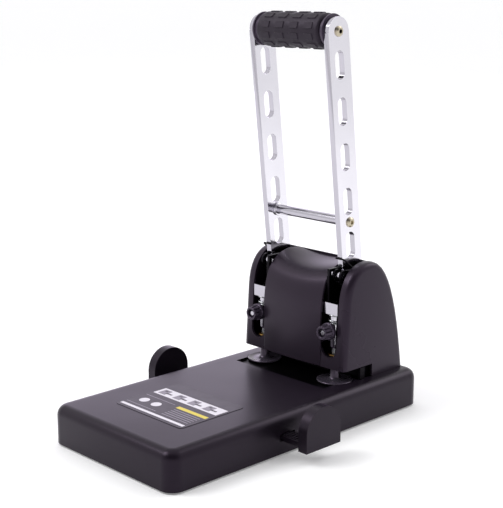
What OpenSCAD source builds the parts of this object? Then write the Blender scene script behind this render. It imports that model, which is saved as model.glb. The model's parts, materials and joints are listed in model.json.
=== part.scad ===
// Heavy-duty two-hole paper punch.
// Origin: centre of the base on the table. +Z is up, +X to the right, +Y towards the
// punching tower, so the paper is put in from the -Y side and the handle is pulled to -Y.

/* [Base] */
// Width of the base
base_w = 140; // [126:1:168]
// Length of the base, front to back
base_l = 270; // [225:1:324]
// Height of the base's top face above the table
base_h = 31.5; // [30:0.5:38]
// Wall of the moulded base
base_wall = 2.5; // [2:0.1:3]
// Radius of the base's upright corners
base_corner_r = 11; // [9:0.5:16]
// Radius along the base's top edge
base_edge_r = 8; // [5:0.5:9]
// Height of the rubber feet below the bottom plate
foot_h = 1.5; // [1:0.1:3]
// Thickness of the steel bottom plate
bottom_t = 1.5; // [1:0.1:1.8]
// Width of the label plate on the base
label_w = 77; // [60:1:92]
// Length of the label plate
label_l = 64; // [50:1:76]
// Distance from the base's front edge to the label plate
label_front = 36; // [12:1:40]

/* [Punching] */
// Distance between the two punched holes
hole_spacing = 80; // [78:1:96]
// Diameter of a punched hole
hole_d = 6; // [5:0.1:6.2]
// Distance from the hole's centre to the paper's edge
paper_margin = 12; // [11:0.5:14]
// Distance from the base's back edge to the line of the holes
punch_back = 72; // [70:0.5:84]
// Gap between the base and the tower that takes the paper
throat_h = 10.8; // [10:0.1:12]
// Diameter of the hold-down discs
disc_d = 29; // [24:0.5:30]

/* [Tower] */
// From a hole's centre to the tower's outer side
tower_side = 17; // [16:0.5:21]
// Height of the tower above the table
tower_h = 126.5; // [124:0.5:140]
// Wall of the tower's covers
cover_wall = 2.2; // [1.8:0.1:2.4]
// Width of the slots that the handle's arms and the knobs move in
cover_slot_w = 16; // [15.5:0.1:16.6]
// Sag of the centre cover's saddle
saddle_dip = 4.5; // [0:0.5:6]
// Thickness of the steel frame plates
frame_t = 3; // [2:0.1:3.2]

/* [Handle] */
// Distance from the pivot to the grip's axis
handle_reach = 198.4; // [170:0.2:240]
// Lean of the handle at rest, forward of upright
handle_lean = 6.5; // [4:0.5:10]
// Width of a handle arm
arm_w = 23; // [20:0.5:25]
// Thickness of a handle arm
arm_t = 5; // [4:0.1:5.2]
// Length of the slots in an arm
arm_slot_l = 22; // [16:0.5:26]
// Width of the slots in an arm
arm_slot_w = 10; // [6:0.5:12]
// Diameter of the rubber grip
grip_d = 28.5; // [26:0.5:36]
// Diameter of the crossbar
crossbar_d = 8; // [6:0.5:10]
// Distance from the pivot to the crossbar
crossbar_reach = 49; // [46:0.5:52]

/* [Mechanism] */
// Diameter of the pivot shaft
shaft_d = 10; // [9:0.1:11]
// Radius of the crank that drives the punches
crank_r = 14.5; // [14:0.1:15]
// Diameter of the crank pins
crank_pin_d = 6; // [5:0.1:6.4]
// Radial clearance of a shaft in its hole
running_fit = 0.05; // [0.02:0.01:0.09]

/* [Paper guide] */
// Distance of the guides' inner faces from the middle, as set
guide_at = 89.5; // [85:0.5:100]
// Width of a guide's upright plate
guide_plate_w = 36.5; // [30:0.5:44]
// Height of a guide's plate above the table
guide_plate_top = 42; // [38:0.5:48]
// Number of teeth of the guide pinion
pinion_teeth = 16; // [14:1:18]

/* [Hidden] */

BLACK = "#2e2a30";
SATIN = "#3a363d";
RUBBER = "#26232a";
CHROME = "#d9dade";
STEEL = "#8d8f94";
OXIDE = "#1b1b1e";
BRASS = "#b89a5c";

$fn = 48;
eps = 0.01;
gap = 0.3;
seam = 0.1;

// ---- places along Y and Z that several pieces share
punch_x = hole_spacing/2;
punch_y = base_l/2 - punch_back;
stop_y = punch_y + paper_margin;
tower_z = base_h + throat_h;
tower_x = punch_x + tower_side;
slot_in_x = punch_x - cover_slot_w/2;
slot_out_x = punch_x + cover_slot_w/2;
tower_front = punch_y - 8.8;
tower_back = punch_y + 66;
tower_step = punch_y + 26;
pivot_y = punch_y + 18;
pivot_z = tower_h - 16.5;

// ---- mechanism
swing = 58;
crank_a = 155;
stroke = crank_r*(sin(crank_a) - sin(crank_a + swing));
crank_y = pivot_y + crank_r*cos(crank_a);
crank_z = pivot_z + crank_r*sin(crank_a);
head_top = crank_z - 20.6;
head_t = 9.5;
head_bottom = head_top - head_t;
head_front = punch_y - 5.8;
head_back = punch_y + 8.5;
head_half = punch_x + 7;
knob_z = head_bottom - 13;
slot_bottom_z = knob_z - stroke;

// ---- punch units
holder_d = 9.2;
holder_bottom = knob_z - 15;
stem_d = 7.3;
stem_bore_d = hole_d + 0.16;
socket_d = stem_d + 0.3;
socket_depth = 11.5;
punch_tip = tower_z - 0.8;
bushing_bore_d = holder_d + 2*running_fit;
bushing_d = bushing_bore_d + 1.4;
knob_r = cover_slot_w/2 - 1;
knob_l = 10.2;
knob_back = punch_y - holder_d/2 - 1.9;
knob_front = knob_back - knob_l;

// ---- die bed and frame
bed_top = base_h - 2;
bed_t = 6;
bed_half = punch_x + 9.6;
bed_front = punch_y - 23;
bed_back = punch_y + 61;
disc_t = 2.2;
disc_bottom = bed_top + 0.2;
hold_down_travel = throat_h - 0.8;
stem_top = disc_bottom + 13.3;
block_bottom = tower_z + 1.7;
block_t = 8;
block_top = block_bottom + block_t;
block_front = tower_front + cover_wall + 0.9;
block_back = punch_y + 19;
outer_frame_x = bed_half + 0.2;
inner_frame_x = 24;
column_front = punch_y + 10.5;
throat_back = punch_y + 19;
post_x = 16;
post_d = 8;
post_top = head_top + 7;
tie_y = pivot_y + 15;
tie_z = pivot_z - 26;
tie_d = 6;
screw_head_t = 1.4;
screw_in = bed_half - 3.8;
frame_screw_y = [throat_back + 6, bed_back - 8];
block_screw_y = [punch_y + 2, block_back - 5];

// ---- handle in its own plane
arm_in = punch_x - arm_t/2;
arm_out = punch_x + arm_t/2;
arm_dir = 90 + handle_lean;
plate_t = 2;
first_slot = 30.3;
slot_pitch = 35.7;
slot_count = 5;

// ---- springs
wire_d = 1.5;
coil_r = shaft_d/2 + wire_d/2 + 0.6;
hook_x = arm_out + plate_t + wire_d/2 + 0.2;
coil_x = hook_x + wire_d + 0.3;

// ---- base interior
floor_z = foot_h + bottom_t;
under_z = base_h - base_wall;
inner_w = base_w - 2*base_wall;
inner_l = base_l - 2*base_wall;

// ---- paper guides
tooth_m = 1;
pinion_r = tooth_m*pinion_teeth/2;
pinion_y = punch_y - 68.8;
bar_z = 12;
bar_t = 4;
bar_w = 15;
rib_h = 0.6;
bar_in = pinion_r + 0.9*tooth_m;
guide_t = 8.5;
guide_bottom = 10;
guide_in_stop = guide_at - base_w/2 - 0.8;
guide_out_stop = 39;
bar_end = -(base_w/2 - base_wall - guide_in_stop - 1.5);

// ---------------------------------------------------------------- helpers

function unit(v) = v/norm(v);

// The same point turned about the pivot, at a distance and angle in the Y-Z plane.
function about_pivot(r, a) = [pivot_y + r*cos(a), pivot_z + r*sin(a)];

function bezier(a, b, c, d, n) = [for (i = [0:n]) let (t = i/n, s = 1 - t)
    s*s*s*a + 3*s*s*t*b + 3*s*t*t*c + t*t*t*d];

function path_tangents(p) = [for (i = [0:len(p) - 1])
    unit(p[min(i + 1, len(p) - 1)] - p[max(i - 1, 0)])];

// A normal carried along the path without twist.
function path_normals(t, n, i = 0, done = []) = i == len(t) ? done :
    let (last = i == 0 ? n : done[i - 1], next = unit(last - (last*t[i])*t[i]))
    path_normals(t, n, i + 1, concat(done, [next]));

// Round wire swept along a list of points.
module wire(points, d, normal, sides = 8) {
    t = path_tangents(points);
    n = path_normals(t, normal);
    last = len(points) - 1;
    rings = [for (i = [0:last]) for (k = [0:sides - 1])
        points[i] + d/2*(cos(360*k/sides)*n[i] + sin(360*k/sides)*cross(t[i], n[i]))];
    skin = [for (i = [0:last - 1]) for (k = [0:sides - 1]) let (j = (k + 1) % sides)
        [i*sides + k, (i + 1)*sides + k, (i + 1)*sides + j, i*sides + j]];
    polyhedron(rings, concat(skin, [[for (k = [0:sides - 1]) k]],
        [[for (k = [sides - 1:-1:0]) last*sides + k]]), convexity = 6);
}

// Compression spring between two heights, its end turns lying flat.
module compression_spring(r, d, low, high, turns) {
    steps = 18;
    flat = 0.8;
    total = turns*steps;
    rise = high - low - d;
    wire([for (i = [0:total]) let (u = i/steps, a = 360*u,
        h = rise*min(1, max(0, (u - flat)/(turns - 2*flat))))
        [r*cos(a), r*sin(a), low + d/2 + h*(1 - 0.02) + 0.02*rise*u/turns]],
        d, [1, 0, 0], 8);
}

// Plate cut to a Y-Z outline and standing between two X values.
module upright(x0, x1) {
    translate([x0, 0, 0]) rotate([90, 0, 90]) linear_extrude(x1 - x0) children();
}

// Rod along X at a point of the Y-Z plane.
module rod(x0, x1, at, d) {
    translate([x0, at[0], at[1]]) rotate([0, 90, 0]) cylinder(d = d, h = x1 - x0);
}

// Built for the right side and mirrored for the left one.
module side(s) {
    if (s > 0) children();
    else mirror([1, 0, 0]) children();
}

module both_sides() {
    for (s = [-1, 1]) side(s) children();
}

// ---------------------------------------------------------------- base

// Block with rounded upright corners and a rounded top edge.
module soft_block(w, l, low, high, corner_r, edge_r) {
    hull() for (x = [-1, 1]) for (y = [-1, 1])
        translate([x*(w/2 - corner_r), y*(l/2 - corner_r), low]) {
            cylinder(r = corner_r, h = high - low - edge_r, $fn = 32);
            translate([0, 0, high - low - edge_r]) rotate_extrude($fn = 32)
                translate([corner_r - edge_r, 0]) intersection() {
                    circle(edge_r, $fn = 32);
                    square(edge_r);
                }
            cylinder(r = corner_r - edge_r, h = high - low, $fn = 32);
        }
}

screw_x = base_w/2 - base_wall - 7;
screw_y = base_l/2 - base_wall - 7;
screw_d = 3;
boss_d = 7;
// the middle bosses stay in front of the die bed, and the rear ones behind the frame plates
mid_screw_y = min(pinion_y + 44, bed_front - boss_d/2 - 0.4);
rear_screw_y = max(screw_y, tower_back - 6 + boss_d/2 + 0.6);
screw_places = [for (x = [-1, 1]) for (y = [-screw_y, mid_screw_y, rear_screw_y])
    [x*screw_x, y]];

module base_cover() color(BLACK) {
    difference() {
        soft_block(base_w, base_l, foot_h, base_h, base_corner_r, base_edge_r);
        soft_block(inner_w, inner_l, foot_h - 1, under_z, base_corner_r - base_wall,
            base_edge_r - base_wall);
        // die window in front of and under the tower
        translate([-bed_half - 0.4, bed_front - 1, under_z - 1])
            cube([2*bed_half + 0.8, stop_y + 2 - bed_front, base_wall + 2]);
        // opening for the frame below the tower
        translate([-outer_frame_x - frame_t - screw_head_t - 0.3, stop_y, under_z - 1])
            cube([2*(outer_frame_x + frame_t + screw_head_t + 0.3), bed_back + 1 - stop_y,
                base_wall + 2]);
        // round pockets for the hold-down discs
        for (s = [-1, 1]) translate([s*punch_x, punch_y, under_z - 1])
            cylinder(d = disc_d + 1.2, h = base_wall + 2);
        // way out for the chip tray
        translate([-tray_half - 0.4, base_l/2 - base_wall - 1, foot_h - 1])
            cube([2*tray_half + 0.8, base_wall + 2, tray_top + 0.5 - foot_h + 1]);
        // slots for the guide bars
        for (a = [0, 180]) translate([0, pinion_y, 0]) rotate([0, 0, a])
            translate([inner_w/2 - 1, -bar_in - bar_w + 0.4, bar_z - 0.6])
                cube([base_wall + 2, bar_w + 0.6, bar_t + rib_h + 1.2]);
    }
    for (p = screw_places) translate([p[0], p[1], 0]) difference() {
        translate([0, 0, floor_z + 0.1]) cylinder(d = boss_d, h = under_z - floor_z);
        translate([0, 0, 0]) cylinder(d = screw_d + 0.1, h = floor_z + 12);
    }
}

module bottom_plate() color(STEEL) difference() {
    translate([-inner_w/2 + gap, -inner_l/2 + gap, foot_h])
        cube([inner_w - 2*gap, inner_l - 2*gap, bottom_t]);
    for (x = [-1, 1]) for (y = [-1, 1])
        translate([x*(inner_w/2 - gap), y*(inner_l/2 - gap), foot_h - 1]) rotate([0, 0, 45])
            cube([9, 9, 4*bottom_t], center = true);
    for (p = screw_places) translate([p[0], p[1], foot_h - eps]) {
        cylinder(d1 = 2*screw_d + 0.2, d2 = screw_d + 0.2, h = bottom_t + 2*eps);
    }
}

module rubber_feet() color(RUBBER) {
    for (x = [-1, 1]) for (y = [-1, 1])
        translate([x*(inner_w/2 - 15), y*(inner_l/2 - 15), 0]) cylinder(d = 14, h = foot_h);
}

// Thin plate stuck on the base's top face.
label_t = 0.3;
module label_plate() color(STEEL) translate([0, -base_l/2 + label_front + label_l/2, base_h])
    linear_extrude(label_t) {
        square([label_w - 8, label_l], center = true);
        square([label_w, label_l - 8], center = true);
        for (x = [-1, 1]) for (y = [-1, 1])
            translate([x*(label_w/2 - 4), y*(label_l/2 - 4)]) circle(4);
    }

module base_screws() color(STEEL) for (p = screw_places) translate([p[0], p[1], 0]) {
    translate([0, 0, foot_h]) cylinder(d1 = 2*screw_d, d2 = screw_d, h = bottom_t);
    translate([0, 0, floor_z - eps]) cylinder(d = screw_d, h = 10);
}

// ---------------------------------------------------------------- die bed

module die_bed() color(STEEL) difference() {
    translate([-bed_half, bed_front, bed_top - bed_t])
        cube([2*bed_half, bed_back - bed_front, bed_t]);
    for (s = [-1, 1]) translate([s*punch_x, punch_y, bed_top - bed_t - 1])
        cylinder(d = die_d, h = bed_t + 2);
    both_sides() for (y = frame_screw_y)
        rod(screw_in - 1, bed_half + 1, [y, bed_top - bed_t/2], screw_d);
}

die_d = 14;
module die_buttons() color(STEEL) for (s = [-1, 1]) translate([s*punch_x, punch_y, 0])
    difference() {
        translate([0, 0, bed_top - bed_t]) cylinder(d = die_d, h = bed_t);
        translate([0, 0, bed_top - bed_t - 1]) cylinder(d = hole_d + 0.1, h = bed_t + 2);
        translate([0, 0, bed_top - bed_t - 1]) cylinder(d = hole_d + 2, h = bed_t - 1.5);
    }

module bed_posts() color(STEEL) for (s = [-1, 1])
    translate([s*(bed_half - 5), bed_front + 4, floor_z])
        cylinder(d = 7, h = bed_top - bed_t - floor_z);

// Fence that the paper's edge is pushed against, with a wide middle and two end fingers.
fence_t = 1.5;
fence_y = punch_y + disc_d/2 + 1.5;
module back_stop() color(STEEL) {
    z0 = base_h + 0.1;
    h = throat_h - 1;
    translate([-tower_x + 0.4, fence_y, z0]) cube([2*tower_x - 0.8, fence_t, h]);
    translate([-23, stop_y, z0]) cube([46, fence_y - stop_y + eps, h]);
    for (s = [-1, 1]) translate([s*(tower_x - 1.4) - 1, stop_y, z0])
        cube([2, fence_y - stop_y + eps, h]);
}

// ---------------------------------------------------------------- frame

// Upper part of a frame plate, carrying the shaft.
frame_boss_r = 8.5;
frame_top = [[pivot_y - 6, pivot_z + 6], [pivot_y + 7, pivot_z + 5],
    [tower_back - 25, pivot_z - 11], [tower_back - 12.5, tower_z + 17]];

module frame_holes(x0, x1) {
    rod(x0 - 1, x1 + 1, [pivot_y, pivot_z], shaft_d);
    rod(x0 - 1, x1 + 1, [tie_y, tie_z], tie_d);
}

module outer_frame() difference() {
    x0 = outer_frame_x;
    x1 = outer_frame_x + frame_t;
    union() {
        upright(x0, x1) {
            polygon(concat(
                [[throat_back, floor_z], [tower_back - 6, floor_z], [tower_back - 6, base_h + 2]],
                [for (i = [3:-1:0]) frame_top[i]],
                [[column_front, pivot_z - 8], [column_front, block_top + 14],
                [punch_y - 3, block_top + 4], [punch_y - 3, block_bottom],
                [throat_back, block_bottom]]));
            translate([pivot_y, pivot_z]) circle(frame_boss_r);
        }
    }
    frame_holes(x0, x1);
    for (y = frame_screw_y) rod(x0 - 1, x1 + 1, [y, bed_top - bed_t/2], screw_d + 0.2);
    for (y = block_screw_y) rod(x0 - 1, x1 + 1, [y, block_bottom + block_t/2], screw_d + 0.2);
}

module inner_frame() difference() {
    x0 = inner_frame_x;
    x1 = inner_frame_x + frame_t;
    upright(x0, x1) {
        polygon(concat(
            [[block_back + 0.2, bed_top], [bed_back - 2, bed_top], [bed_back - 2, base_h + 4]],
            [for (i = [3:-1:0]) frame_top[i]],
            [[column_front, pivot_z - 8], [column_front, block_top + 14],
            [punch_y + 8, block_top + 6], [punch_y + 8, block_top],
            [block_back + 0.2, block_top]]));
        translate([pivot_y, pivot_z]) circle(frame_boss_r);
    }
    frame_holes(x0, x1);
}

module left_outer_frame() color(STEEL) side(-1) outer_frame();
module right_outer_frame() color(STEEL) side(1) outer_frame();
module left_inner_frame() color(STEEL) side(-1) inner_frame();
module right_inner_frame() color(STEEL) side(1) inner_frame();

module guide_block() color(OXIDE) difference() {
    translate([-bed_half, block_front, block_bottom])
        cube([2*bed_half, block_back - block_front, block_t]);
    for (s = [-1, 1]) translate([s*punch_x, punch_y, block_bottom - 1])
        cylinder(d = bushing_d, h = block_t + 2);
    for (s = [-1, 1]) translate([s*post_x, punch_y, block_bottom - 1])
        cylinder(d = post_d, h = block_t + 2);
    both_sides() for (y = block_screw_y)
        rod(screw_in - 0.1, bed_half + 1, [y, block_bottom + block_t/2], screw_d);
}

module punch_bushings() color(BRASS) for (s = [-1, 1]) translate([s*punch_x, punch_y, 0])
    difference() {
        translate([0, 0, block_bottom]) cylinder(d = bushing_d, h = block_t + 1);
        translate([0, 0, block_bottom - 1]) cylinder(d = bushing_bore_d, h = block_t + 3);
    }

module guide_posts() color(CHROME) for (s = [-1, 1]) translate([s*post_x, punch_y, 0])
    translate([0, 0, block_bottom]) cylinder(d = post_d, h = post_top - block_bottom);

module pivot_shaft() color(CHROME) difference() {
    rod(-shaft_half, shaft_half, [pivot_y, pivot_z], shaft_d);
    for (s = [-1, 1]) side(s) difference() {
        rod(clip_x, clip_x + clip_t, [pivot_y, pivot_z], shaft_d + 1);
        rod(clip_x - 1, clip_x + clip_t + 1, [pivot_y, pivot_z], shaft_d - 2);
    }
}

clip_t = 0.8;
clip_x = outer_frame_x + frame_t;
shaft_half = clip_x + clip_t + 0.6;

module shaft_clips() color(STEEL) both_sides() difference() {
    rod(clip_x, clip_x + clip_t, [pivot_y, pivot_z], shaft_d + 5);
    rod(clip_x - 1, clip_x + clip_t + 1, [pivot_y, pivot_z], shaft_d - 2);
    translate([clip_x - 1, pivot_y - 2.5, pivot_z - shaft_d])
        cube([clip_t + 2, 5, shaft_d]);
}

module tie_rod() color(STEEL) rod(-clip_x, clip_x, [tie_y, tie_z], tie_d);

module frame_screws() color(STEEL) both_sides() {
    for (p = concat([for (y = frame_screw_y) [y, bed_top - bed_t/2]],
        [for (y = block_screw_y) [y, block_bottom + block_t/2]])) {
        rod(clip_x, clip_x + screw_head_t, p, 2*screw_d);
        rod(screw_in, clip_x + eps, p, screw_d);
    }
}

// ---------------------------------------------------------------- springs of the frame

module return_springs() color(STEEL) for (s = [-1, 1]) translate([s*post_x, punch_y, 0])
    compression_spring(post_d/2 + 1.5, 1.4, block_top, head_bottom, 8);

// Coil round the shaft with its fixed leg resting on the tie rod.
module torsion_spring() {
    n = 20;
    tie_top = [tie_y, tie_z + tie_d/2 + wire_d/2];
    reach = tie_top - [pivot_y, pivot_z];
    leg_a = atan2(reach[1], reach[0]) - acos(coil_r/norm(reach));
    out_x = coil_x + wire_d + 0.05;
    coil = [for (i = [0:n]) let (p = about_pivot(coil_r, leg_a - 360 + 360*i/n))
        [coil_x + (out_x - coil_x)*i/n, p[0], p[1]]];
    wire(concat(coil, [[out_x, tie_top[0] - 1, tie_top[1] + 0.9], [out_x, tie_top[0] + 1, tie_top[1]],
        [out_x, tie_top[0] + 6, tie_top[1] - 0.2]]), wire_d, [1, 0, 0]);
}

// Turn next to the arm, with the leg that is hooked over the arm's front edge.
module spring_hook() {
    n = 14;
    leave = 51;
    turn = 250;
    leg = about_pivot(coil_r, leave);
    dir = [cos(leave + 90), sin(leave + 90)];
    front = [pivot_y, pivot_z] + (arm_w/2 + wire_d/2 + 0.1)*[cos(arm_dir + 90), sin(arm_dir + 90)];
    along = [cos(arm_dir), sin(arm_dir)];
    // where the leg's line meets the arm's front edge
    k = cross2(front - leg, along)/cross2(dir, along);
    meet = leg + k*dir;
    coil = [for (i = [0:n]) let (p = about_pivot(coil_r, leave - turn + turn*i/n))
        [hook_x, p[0], p[1]]];
    corner = [hook_x, meet[0], meet[1]];
    wire(concat(coil, [corner - 1.2*[0, dir[0], dir[1]], corner + [-1.2, 0, 0],
        [arm_in - 1, meet[0], meet[1]]]), wire_d, [1, 0, 0]);
}

function cross2(a, b) = a[0]*b[1] - a[1]*b[0];

module left_torsion_spring() color(OXIDE) side(-1) torsion_spring();
module right_torsion_spring() color(OXIDE) side(1) torsion_spring();
module left_spring_hook() color(OXIDE) side(-1) spring_hook();
module right_spring_hook() color(OXIDE) side(1) spring_hook();

// ---------------------------------------------------------------- covers

// Side view of the tower: front, crown and back.
front_line = [[tower_front, tower_z], [tower_front + 3.2, tower_h - 34]];
crown_y = pivot_y + 6;
tower_outline = concat([front_line[0]],
    bezier(front_line[1], [tower_front + 4.6, tower_h - 9], [crown_y - 16, tower_h],
        [crown_y, tower_h], 10),
    [for (i = [1:12]) bezier([crown_y, tower_h], [crown_y + 22, tower_h],
        [tower_back - 8, base_h + 60], [tower_back, base_h], 12)[i]]);

module tower_shape() {
    polygon(concat([[tower_step, tower_z]], tower_outline, [[tower_step, base_h]]));
}

// The same outline carried down past the base's top, so that it has no bottom edge.
deep_outline = concat([[tower_front, base_h - 9]], tower_outline, [[tower_back, base_h - 9]]);

// Skin of the outline, open at the bottom.
module tower_skin() difference() {
    tower_shape();
    offset(delta = -cover_wall) polygon(deep_outline);
}

// Solid of the deep outline from one X to another, its far edge rounded with radius r and
// everything set in by d.
module round_sided(x0, x1, r, d) {
    n = len(deep_outline);
    t = path_tangents(deep_outline);
    steps = 6;
    ring = function(x, inset) [for (i = [0:n - 1])
        [x, deep_outline[i][0] + inset*t[i][1], deep_outline[i][1] - inset*t[i][0]]];
    rings = concat([ring(x0, d)], [for (k = [0:steps]) let (a = 90*k/steps)
        ring(x1 - r + r*sin(a), d + r*(1 - cos(a)))]);
    m = len(rings);
    skin = [for (k = [0:m - 2]) for (i = [0:n - 1]) let (j = (i + 1) % n) each [
        [k*n + i, k*n + j, (k + 1)*n + j], [k*n + i, (k + 1)*n + j, (k + 1)*n + i]]];
    polyhedron([for (g = rings) each g], concat([[for (i = [n - 1:-1:0]) i]], skin,
        [[for (i = [0:n - 1]) (m - 1)*n + i]]), convexity = 6);
}

side_edge_r = 5;
module side_cover() {
    intersection() {
        difference() {
            round_sided(slot_out_x, tower_x, side_edge_r, 0);
            round_sided(slot_out_x - 1, tower_x - cover_wall, side_edge_r - cover_wall, cover_wall);
        }
        upright(slot_out_x - 1, tower_x + 1) tower_shape();
    }
    // strip below the slot, with the slot's round end
    difference() {
        upright(slot_in_x + seam, slot_out_x + eps) intersection() {
            tower_skin();
            translate([tower_front - 5, tower_z - 1]) square([15, slot_bottom_z - tower_z + 1]);
        }
        translate([punch_x, tower_front - 10, slot_bottom_z]) rotate([-90, 0, 0])
            cylinder(d = cover_slot_w, h = 30);
    }
}

module left_cover() color(SATIN) side(-1) side_cover();
module right_cover() color(SATIN) side(1) side_cover();

// Saddle-shaped cover between the slots, as a grid of profiles.
centre_half = slot_in_x;
centre_end = crown_y + 8;
function centre_profile(u, inset) = let (
    hollow = saddle_dip*(1 - u*u),
    bulge = 0.1 + 1.7*(1 - u*u),
    f = tower_front - bulge + inset,
    top = tower_h - 1 - hollow - inset)
    concat([[f, tower_z]],
        bezier([f - 0.4, tower_h - 42], [f + 1.5, tower_h - 12], [f + 10, top - 3],
            [crown_y - 4, top], 18),
        [[centre_end, top - 0.6 + 0.5*hollow]]);

module centre_cover() color(SATIN) {
    cols = 24;
    outer = [for (i = [0:cols]) centre_profile(2*i/cols - 1, 0)];
    inner = [for (i = [0:cols]) centre_profile(2*i/cols - 1, cover_wall)];
    rows = len(outer[0]);
    x = function(i) centre_half*(2*i/cols - 1);
    points = concat([for (i = [0:cols]) for (p = outer[i]) [x(i), p[0], p[1]]],
        [for (i = [0:cols]) for (p = inner[i]) [x(i), p[0], p[1]]]);
    at = function(layer, i, j) layer*(cols + 1)*rows + i*rows + j;
    skin = [for (layer = [0, 1]) for (i = [0:cols - 1]) for (j = [0:rows - 2]) each
        let (a = at(layer, i, j), b = at(layer, i + 1, j), c = at(layer, i + 1, j + 1),
            d = at(layer, i, j + 1))
        layer == 0 ? [[a, d, c], [a, c, b]] : [[a, b, c], [a, c, d]]];
    ends = [for (i = [0:cols - 1]) each [
        [at(0, i, 0), at(0, i + 1, 0), at(1, i + 1, 0), at(1, i, 0)],
        [at(0, i, rows - 1), at(1, i, rows - 1), at(1, i + 1, rows - 1), at(0, i + 1, rows - 1)]]];
    sides = [for (j = [0:rows - 2]) each [
        [at(0, 0, j), at(1, 0, j), at(1, 0, j + 1), at(0, 0, j + 1)],
        [at(0, cols, j), at(0, cols, j + 1), at(1, cols, j + 1), at(1, cols, j)]]];
    polyhedron(points, concat(skin, ends, sides), convexity = 6);
}

module rear_cover() color(SATIN) upright(-slot_out_x + seam, slot_out_x - seam) intersection() {
    tower_skin();
    translate([centre_end + seam, base_h]) square([tower_back, tower_h]);
}

// ---------------------------------------------------------------- punch carriage

module crosshead() color(CHROME) difference() {
    translate([-head_half, head_front, head_bottom])
        cube([2*head_half, head_back - head_front, head_t]);
    for (s = [-1, 1]) translate([s*post_x, punch_y, head_bottom - 1])
        cylinder(r = post_d/2 + running_fit, h = head_t + 2);
    for (s = [-1, 1]) translate([s*punch_x, punch_y, head_bottom - 1])
        cylinder(d = 6, h = head_t + 2);
}

// Plate with the level slot that the crank pin moves in.
yoke_x = slot_in_x + 0.4;
yoke_t = 2.8;
yoke_slot_h = crank_pin_d + 0.7;
yoke_slot_front = pivot_y - crank_r - crank_pin_d/2 - 0.4;
yoke_slot_back = crank_y + crank_pin_d/2 + 1.6;
module yoke() difference() {
    upright(yoke_x, yoke_x + yoke_t) {
        translate([punch_y - 3, head_top]) square([10, crank_z - head_top]);
        translate([yoke_slot_front - 2.4, crank_z - 5.6])
            square([yoke_slot_back - yoke_slot_front + 4.2, 11.2]);
    }
    upright(yoke_x - 1, yoke_x + yoke_t + 1) translate([yoke_slot_front, crank_z - yoke_slot_h/2])
        square([yoke_slot_back - yoke_slot_front, yoke_slot_h]);
}

module left_yoke() color(OXIDE) side(-1) yoke();
module right_yoke() color(OXIDE) side(1) yoke();

// Sleeve that carries the punch pin, with the hold-down's stem sliding in its mouth.
module holder() translate([punch_x, punch_y, 0]) difference() {
    union() {
        translate([0, 0, holder_bottom + 1.5])
            cylinder(d = holder_d, h = head_bottom - holder_bottom - 1.5);
        translate([0, 0, holder_bottom]) cylinder(d1 = holder_d - 1.4, d2 = holder_d, h = 1.5);
        translate([0, 0, head_bottom - 10]) cylinder(d = holder_d + 2.6, h = 2);
        translate([0, 0, head_bottom - eps]) cylinder(d = 6, h = head_t);
    }
    translate([0, 0, holder_bottom - 1]) cylinder(d = hole_d, h = punch_top - holder_bottom + 1);
    translate([0, 0, holder_bottom - 1]) cylinder(d = socket_d, h = socket_depth + 1);
    translate([0, 0, knob_z]) rotate([90, 0, 0]) cylinder(d = clamp_d, h = holder_d);
}

clamp_d = 4;
punch_top = head_bottom - 6;
module left_holder() color(CHROME) side(-1) holder();
module right_holder() color(CHROME) side(1) holder();

// Hollow-ground punch pin.
module punch() translate([punch_x, punch_y, 0]) difference() {
    translate([0, 0, punch_tip]) cylinder(d = hole_d, h = punch_top - punch_tip);
    translate([0, 0, punch_tip - eps]) cylinder(d1 = hole_d - 1, d2 = 0.5, h = 2);
}

module left_punch() color(STEEL) side(-1) punch();
module right_punch() color(STEEL) side(1) punch();

module cushion_springs() color(CHROME) for (s = [-1, 1]) translate([s*punch_x, punch_y, 0])
    compression_spring(holder_d/2 + 0.85, 1.3, head_bottom - 8, head_bottom, 3);

// ---------------------------------------------------------------- knobs

module knob() translate([punch_x, 0, knob_z]) rotate([90, 0, 0]) difference() {
    translate([0, 0, -knob_back]) union() {
        cylinder(r = knob_r, h = 3.2);
        translate([0, 0, 3.2 - eps])
            cylinder(r1 = knob_r - 0.5, r2 = knob_r - 1.3, h = knob_l - 3.2 + eps);
    }
    translate([0, 0, -knob_front - 4]) cylinder(r = 3.6, h = 5);
    translate([0, 0, -knob_back - 1]) cylinder(d = clamp_d, h = 20);
    for (i = [0:11]) rotate([0, 0, 30*i])
        translate([knob_r - 0.1, 0, 3.2 - knob_back]) cylinder(r = 1, h = 9, $fn = 16);
}

module left_knob() color(RUBBER) side(-1) knob();
module right_knob() color(RUBBER) side(1) knob();

module clamp_screw() translate([punch_x, 0, knob_z]) rotate([90, 0, 0])
    translate([0, 0, -punch_y + hole_d/2 + 0.1])
        cylinder(d = clamp_d - 0.1, h = punch_y - hole_d/2 - 0.1 - knob_front - 1.6);

module left_clamp_screw() color(CHROME) side(-1) clamp_screw();
module right_clamp_screw() color(CHROME) side(1) clamp_screw();

// ---------------------------------------------------------------- hold-down discs

module hold_down() translate([punch_x, punch_y, disc_bottom]) difference() {
    union() {
        cylinder(d1 = disc_d - 5, d2 = disc_d, h = disc_t - 0.9);
        translate([0, 0, disc_t - 0.9 - eps]) cylinder(d = disc_d, h = 0.9 + eps);
        translate([0, 0, disc_t - eps]) cylinder(d1 = stem_d + 4, d2 = stem_d, h = 2);
        cylinder(d = stem_d, h = stem_top - disc_bottom);
    }
    translate([0, 0, -1]) cylinder(d = stem_bore_d, h = 30);
}

module left_hold_down() color(RUBBER) side(-1) hold_down();
module right_hold_down() color(RUBBER) side(1) hold_down();

// ---------------------------------------------------------------- handle

// Puts an outline drawn along +X from the pivot onto the leaning handle.
module on_handle(x0, x1) upright(x0, x1) translate([pivot_y, pivot_z])
    rotate(arm_dir) children();

// The crank pin's place along and across the handle.
crank_along = crank_r*cos(crank_a - arm_dir);
crank_across = crank_r*sin(crank_a - arm_dir);
rivet_reach = 19;

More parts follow.
